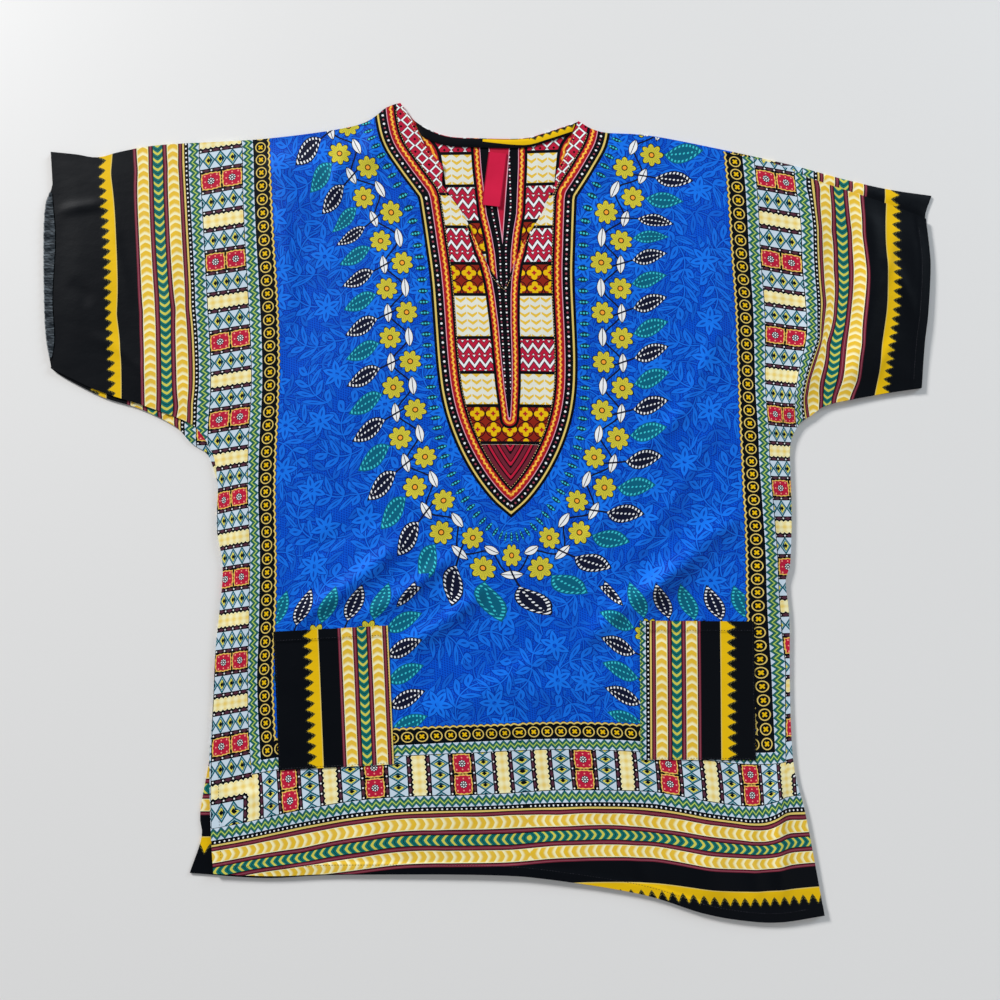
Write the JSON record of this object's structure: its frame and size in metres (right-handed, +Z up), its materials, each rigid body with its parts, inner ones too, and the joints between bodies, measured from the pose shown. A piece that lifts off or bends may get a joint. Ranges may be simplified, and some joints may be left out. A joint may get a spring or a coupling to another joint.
{
  "type": "dashiki shirt",
  "caption": "Kimono-cut dashiki shirt laid flat, with a V-slit neck, short wide sleeves, side vents and patch pockets",
  "frame": {"origin": "centre of the underside, where the shirt lies on the surface", "axes": "+X towards the wearer's left sleeve, +Y towards the neck, +Z up out of the surface, front of the shirt up"},
  "size_m": [0.998, 0.9134, 0.0096],
  "materials": {
    "print_front": "smooth printed cotton, blue ground with striped borders",
    "print_back": "smooth printed cotton, blue ground with striped borders",
    "print_pocket": "smooth printed cotton, black, yellow, cream and green stripes",
    "facing": "smooth black and yellow cotton strip",
    "label": "woven red satin tape, plain"
  },
  "bodies": {
    "root": {"back_panel": "print_back", "front_panel": "print_front", "pocket_left": "print_pocket", "pocket_right": "print_pocket", "back_neck_facing": "facing", "neck_label": "label"}
  },
  "joints": []
}
